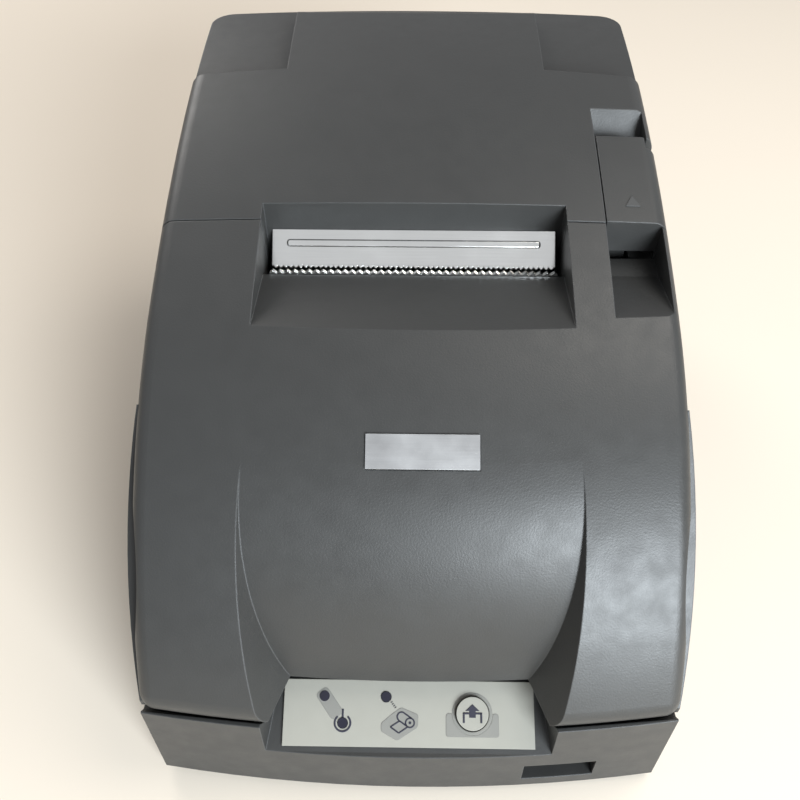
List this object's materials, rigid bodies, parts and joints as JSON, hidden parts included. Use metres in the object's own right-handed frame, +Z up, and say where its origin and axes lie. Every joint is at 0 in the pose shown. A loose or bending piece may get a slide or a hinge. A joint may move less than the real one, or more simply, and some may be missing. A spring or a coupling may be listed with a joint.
{
  "type": "receipt printer",
  "caption": "Desktop impact receipt printer: dark hood with hinged front and roll covers, paper exit with tear edge, cover lever, sloping control panel and power rocker",
  "frame": {"origin": "middle of the footprint, on the surface the feet stand on", "axes": "+X to the right seen from the control panel, +Y to the rear, +Z up"},
  "size_m": [0.16, 0.248, 0.1385],
  "materials": {
    "case_plastic": "fine textured charcoal plastic",
    "cover_plastic": "fine textured charcoal plastic",
    "lever_plastic": "fine textured charcoal plastic",
    "steel": "plated sheet and turned steel",
    "polished_steel": "polished",
    "badge_metal": "brushed, blank",
    "rubber": "matt",
    "panel_sheet": "silver grey sheet",
    "lamp_tint": "dark tinted",
    "button_plastic": "smooth silver grey plastic",
    "rocker_plastic": "smooth black plastic",
    "board": "green laminate",
    "black_plastic": "moulded",
    "gear_plastic": "natural acetal",
    "motor_metal": "plated can",
    "platen_plastic": "moulded",
    "ribbon_ink": "inked nylon"
  },
  "bodies": {
    "chassis": {"main_case": "case_plastic", "rear_hinge_pins": "steel", "bottom_plate": "case_plastic", "case_screws": "steel", "rubber_feet": "rubber", "front_hinge_brackets": "black_plastic", "front_hinge_pins": "steel", "panel_overlay": "panel_sheet", "lamp_lenses": "lamp_tint", "panel_board": "board", "switch_body": "black_plastic", "main_board": "board", "board_standoffs": "motor_metal", "connector_plate": "steel", "data_port": "motor_metal", "jack_screws": "steel", "interface_board": "board", "drawer_socket": "black_plastic", "power_inlet": "black_plastic", "roll_bucket": "black_plastic", "print_frame": "steel", "carriage_rods": "steel", "latch_pin": "steel", "idler_pin": "steel", "platen": "platen_plastic", "feed_motor": "motor_metal", "carriage_motor": "motor_metal", "idler_post": "steel", "timing_belt": "rubber", "ribbon_cassette": "black_plastic", "ink_ribbon": "ribbon_ink", "front_tear_bar": "polished_steel"},
    "front_cover": {"front_cover": "cover_plastic", "name_plate": "badge_metal"},
    "roll_cover": {"roll_cover": "cover_plastic", "lever_pin": "steel", "paper_plate": "polished_steel"},
    "open_lever": {"open_lever": "lever_plastic"},
    "feed_button": {"feed_button": "button_plastic"},
    "power_rocker": {"power_rocker": "rocker_plastic"},
    "feed_roller": {"feed_shaft": "steel", "feed_rollers": "rubber", "feed_gear": "gear_plastic"},
    "idler_gear": {"idler_gear": "gear_plastic"},
    "motor_pinion": {"motor_pinion": "gear_plastic", "feed_motor_shaft": "steel"},
    "pinch_roller": {"pinch_shaft": "steel", "pinch_rollers": "rubber"},
    "carriage": {"carriage": "black_plastic", "print_head": "motor_metal"},
    "drive_pulley": {"drive_pulley": "gear_plastic"},
    "idler_pulley": {"idler_pulley": "gear_plastic"},
    "ribbon_knob": {"ribbon_knob": "black_plastic"}
  },
  "joints": [
    {"name": "front_cover_hinge", "type": "hinge", "parent": "chassis", "child": "front_cover", "pos_m": [0, -0.1086, 0.04639], "axis": [1, 0, 0], "range_deg": [0, 72]},
    {"name": "roll_cover_hinge", "type": "hinge", "parent": "chassis", "child": "roll_cover", "pos_m": [0, 0.1055, 0.124], "axis": [-1, 0, 0], "range_deg": [0, 75]},
    {"name": "lever_hinge", "type": "hinge", "parent": "roll_cover", "child": "open_lever", "pos_m": [0.066, 0.0325, 0.1185], "axis": [-1, 0, 0], "range_deg": [0, 12], "stiffness_Nm_per_rad": 0.08},
    {"name": "feed_button_press", "type": "slide", "parent": "chassis", "child": "feed_button", "axis": [0, 0.3746, -0.9272], "range_m": [0, 0.001], "stiffness_N_per_m": 600},
    {"name": "power_rocker_tilt", "type": "hinge", "parent": "chassis", "child": "power_rocker", "pos_m": [0.046, -0.1095, 0.013], "axis": [0, 0, 1], "range_deg": [0, 16]},
    {"name": "feed_roller_spin", "type": "hinge", "parent": "chassis", "child": "feed_roller", "pos_m": [0, -0.0112, 0.097], "axis": [1, 0, 0], "continuous": true},
    {"name": "idler_gear_spin", "type": "hinge", "parent": "chassis", "child": "idler_gear", "pos_m": [0.0715, -0.0112, 0.07], "axis": [1, 0, 0], "continuous": true},
    {"name": "motor_pinion_spin", "type": "hinge", "parent": "chassis", "child": "motor_pinion", "pos_m": [0.0715, -0.0112, 0.049], "axis": [1, 0, 0], "continuous": true},
    {"name": "pinch_roller_spin", "type": "hinge", "parent": "roll_cover", "child": "pinch_roller", "pos_m": [0, 0.0002, 0.097], "axis": [1, 0, 0], "continuous": true},
    {"name": "carriage_slide", "type": "slide", "parent": "chassis", "child": "carriage", "axis": [1, 0, 0], "range_m": [-0.032, 0.032]},
    {"name": "drive_pulley_spin", "type": "hinge", "parent": "chassis", "child": "drive_pulley", "pos_m": [-0.058, -0.044, 0.05], "axis": [0, 0, 1], "range_deg": [-320, 320]},
    {"name": "idler_pulley_spin", "type": "hinge", "parent": "chassis", "child": "idler_pulley", "pos_m": [0.058, -0.044, 0.05], "axis": [0, 0, 1], "range_deg": [-320, 320]},
    {"name": "ribbon_knob_spin", "type": "hinge", "parent": "chassis", "child": "ribbon_knob", "pos_m": [-0.044, -0.07, 0.08], "axis": [0, 0, 1], "continuous": true}
  ],
  "couplings": [
    {"joint": "idler_gear_spin", "follows": "feed_roller_spin", "ratio": -0.8},
    {"joint": "motor_pinion_spin", "follows": "feed_roller_spin", "ratio": 2},
    {"joint": "pinch_roller_spin", "follows": "feed_roller_spin", "ratio": -1.25},
    {"joint": "drive_pulley_spin", "follows": "carriage_slide", "rad_per_m": -166.67},
    {"joint": "idler_pulley_spin", "follows": "carriage_slide", "rad_per_m": -166.67}
  ]
}
